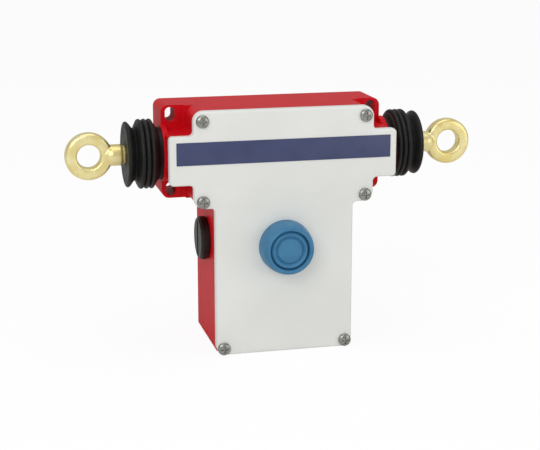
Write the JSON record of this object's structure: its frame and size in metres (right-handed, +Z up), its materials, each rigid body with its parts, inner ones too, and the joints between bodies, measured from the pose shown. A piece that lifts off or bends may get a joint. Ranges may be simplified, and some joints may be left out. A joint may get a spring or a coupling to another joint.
{
  "type": "rope pull switch",
  "caption": "Double-ended rope pull safety switch: die-cast body with mounting lugs, grey cover, blue reset button, rubber bellows and an eye bolt each side on a sliding shaft.",
  "frame": {"origin": "on the flat rear mounting face, on the centre plane, level with the rope axis", "axes": "+Z up, +Y out of the rear face into the wall it is fixed to, +X to the right seen from the front, along the rope"},
  "size_m": [0.2418, 0.0732, 0.1422],
  "materials": {
    "red_paint": "satin powder coat on die-cast alloy",
    "cover_metal": "light grey satin lacquer",
    "navy_inlay": "printed film, satin",
    "zinc_steel": "zinc plated",
    "bright_steel": "turned and ground",
    "black_rubber": "moulded, slight sheen",
    "yellow_zinc": "yellow passivated, semi-gloss",
    "bronze": "sintered bearing bronze",
    "blue_rubber": "moulded silicone, matt",
    "black_plastic": "moulded nylon",
    "ivory_plastic": "moulded acetal",
    "contact_brass": "bright"
  },
  "bodies": {
    "body": {"housing": "red_paint", "cover_gasket": "black_rubber", "cover_plate": "cover_metal", "cover_stripe": "navy_inlay", "cover_screw_top_left": "zinc_steel", "cover_screw_top_right": "zinc_steel", "cover_screw_middle_left": "zinc_steel", "cover_screw_middle_right": "zinc_steel", "cover_screw_bottom_left": "zinc_steel", "cover_screw_bottom_right": "zinc_steel", "end_bush_left": "bronze", "bellows_left": "black_rubber", "return_spring_left": "bright_steel", "end_bush_right": "bronze", "bellows_right": "black_rubber", "return_spring_right": "bright_steel", "lever_pin": "bright_steel", "lever_clip": "bright_steel", "mounting_plate": "zinc_steel", "plate_screw_left": "zinc_steel", "plate_screw_right": "zinc_steel", "earth_screw": "zinc_steel", "contact_block_left": "black_plastic", "terminal_screw_left_1": "contact_brass", "terminal_screw_left_2": "contact_brass", "bracket_screw_left": "zinc_steel", "contact_block_right": "black_plastic", "terminal_screw_right_1": "contact_brass", "terminal_screw_right_2": "contact_brass", "bracket_screw_right": "zinc_steel", "latch_bracket": "zinc_steel", "pawl_pin": "bright_steel", "reset_boot": "blue_rubber", "reset_bush": "zinc_steel", "reset_nut": "zinc_steel", "reset_spring": "bright_steel", "blanking_plug_left": "black_plastic", "plug_seal_left": "black_rubber", "blanking_plug_right": "black_plastic", "plug_seal_right": "black_rubber"},
    "shaft": {"pull_shaft": "bright_steel", "trip_collar": "bright_steel", "collar_pin": "bright_steel", "eye_bolt_left": "yellow_zinc", "eye_lock_ring_left": "yellow_zinc", "spring_cup_left": "bright_steel", "eye_bolt_right": "yellow_zinc", "eye_lock_ring_right": "yellow_zinc", "spring_cup_right": "bright_steel"},
    "lever": {"trip_lever": "bright_steel"},
    "slider": {"contact_slider": "ivory_plastic", "contact_bridge_left": "contact_brass", "contact_bridge_right": "contact_brass"},
    "reset_button": {"reset_cap": "blue_rubber", "reset_plunger": "ivory_plastic", "reset_clip": "bright_steel"},
    "pawl": {"latch_pawl": "bright_steel"}
  },
  "joints": [
    {"name": "shaft_slide", "type": "slide", "parent": "body", "child": "shaft", "axis": [1, 0, 0], "range_m": [-0.006, 0.006], "stiffness_N_per_m": 3000, "deforming": ["bellows_left", "bellows_right", "return_spring_left", "return_spring_right"]},
    {"name": "lever_swing", "type": "hinge", "parent": "body", "child": "lever", "pos_m": [0, -0.03, -0.0338], "axis": [0, 1, 0], "range_deg": [-15.5, 15.5]},
    {"name": "slider_shift", "type": "slide", "parent": "body", "child": "slider", "axis": [1, 0, 0], "range_m": [-0.0061, 0.0061]},
    {"name": "reset_press", "type": "slide", "parent": "body", "child": "reset_button", "axis": [0, 1, 0], "range_m": [0, 0.004], "stiffness_N_per_m": 900, "springref_m": -0.002, "deforming": ["reset_spring"]},
    {"name": "pawl_tip", "type": "hinge", "parent": "body", "child": "pawl", "pos_m": [0, -0.024, -0.0634], "axis": [-1, 0, 0], "range_deg": [-1, 19.5]}
  ],
  "couplings": [
    {"joint": "lever_swing", "follows": "shaft_slide", "rad_per_m": 44.444},
    {"joint": "slider_shift", "follows": "shaft_slide", "ratio": -1},
    {"joint": "pawl_tip", "follows": "reset_press", "rad_per_m": 83.333}
  ]
}
